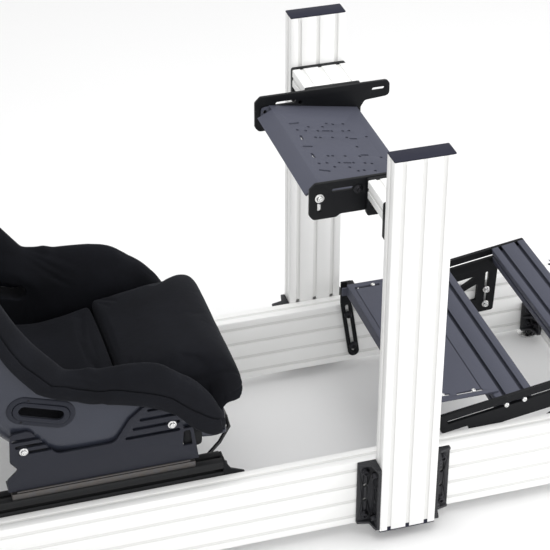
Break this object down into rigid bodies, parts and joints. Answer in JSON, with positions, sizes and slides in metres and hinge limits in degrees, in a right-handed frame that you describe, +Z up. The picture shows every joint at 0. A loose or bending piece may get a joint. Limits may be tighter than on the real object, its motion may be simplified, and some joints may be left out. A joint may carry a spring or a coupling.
{
  "type": "sim racing cockpit",
  "caption": "Open frame of slotted aluminium profiles with a wheel deck, a pedal deck with a heel plate and a bucket seat on sliders, for driving games.",
  "frame": {"origin": "on the floor, under the middle of the outline", "axes": "+X forward from the seat to the pedals, +Y to the driver's left, +Z up"},
  "size_m": [1.645, 0.67, 0.9875],
  "materials": {
    "profile_white": "satin powder coat",
    "profile_slate": "matt powder coat",
    "profile_black": "satin anodised",
    "plate_slate": "fine textured powder coat",
    "plate_black": "fine textured powder coat",
    "cast_black": "powder coat over a casting",
    "cap_plastic": "moulded",
    "foot_metal": "zinc plated",
    "slider_steel": "dark zinc phosphate",
    "seat_plate_steel": "satin powder coat",
    "bar_steel": "gloss black",
    "shell_gloss": "gel coat",
    "bezel_plastic": "moulded",
    "seat_fabric": "brushed velour"
  },
  "bodies": {
    "frame": {"rail_right": "profile_white", "rail_left": "profile_white", "rail_end_caps": "cap_plastic", "cross_rear": "profile_white", "cross_front": "profile_white", "cross_brackets": "cast_black", "foot_plates": "plate_black", "levelling_feet": "foot_metal", "upright_right": "profile_white", "upright_left": "profile_white", "upright_top_caps": "cap_plastic", "upright_bottom_caps": "cap_plastic", "foot_brackets_right": "cast_black", "foot_brackets_left": "cast_black", "arm_right": "profile_white", "arm_left": "profile_white", "arm_plates_right": "plate_black", "arm_plates_left": "plate_black", "deck_bracket_right": "plate_black", "deck_bracket_left": "plate_black", "wheel_deck": "plate_slate", "pedal_side_right": "plate_black", "pedal_side_left": "plate_black", "pedal_beam_rear": "profile_slate", "pedal_beam_front": "profile_slate", "heel_plate": "plate_slate", "heel_bracket_right": "plate_black", "heel_bracket_left": "plate_black", "seat_rail_right": "profile_black", "seat_rail_left": "profile_black", "seat_rail_brackets": "plate_black", "slider_lower_right": "slider_steel", "slider_lower_left": "slider_steel"},
    "seat": {"slider_upper_right": "slider_steel", "slider_upper_left": "slider_steel", "seat_plate_right": "seat_plate_steel", "seat_plate_left": "seat_plate_steel", "seat_shell": "shell_gloss", "belt_bezels": "bezel_plastic", "seat_cushion": "seat_fabric", "back_pad": "seat_fabric", "bolster_right": "seat_fabric", "bolster_left": "seat_fabric"},
    "bar": {"release_bar": "bar_steel"}
  },
  "joints": [
    {"name": "seat_slide", "type": "slide", "parent": "frame", "child": "seat", "axis": [1, 0, 0], "range_m": [-0.1, 0.1]},
    {"name": "release_bar_lift", "type": "hinge", "parent": "seat", "child": "bar", "pos_m": [-0.25, 0, 0.224], "axis": [0, -1, 0], "range_deg": [0, 9], "stiffness_Nm_per_rad": 4, "springref_deg": -11.46}
  ]
}
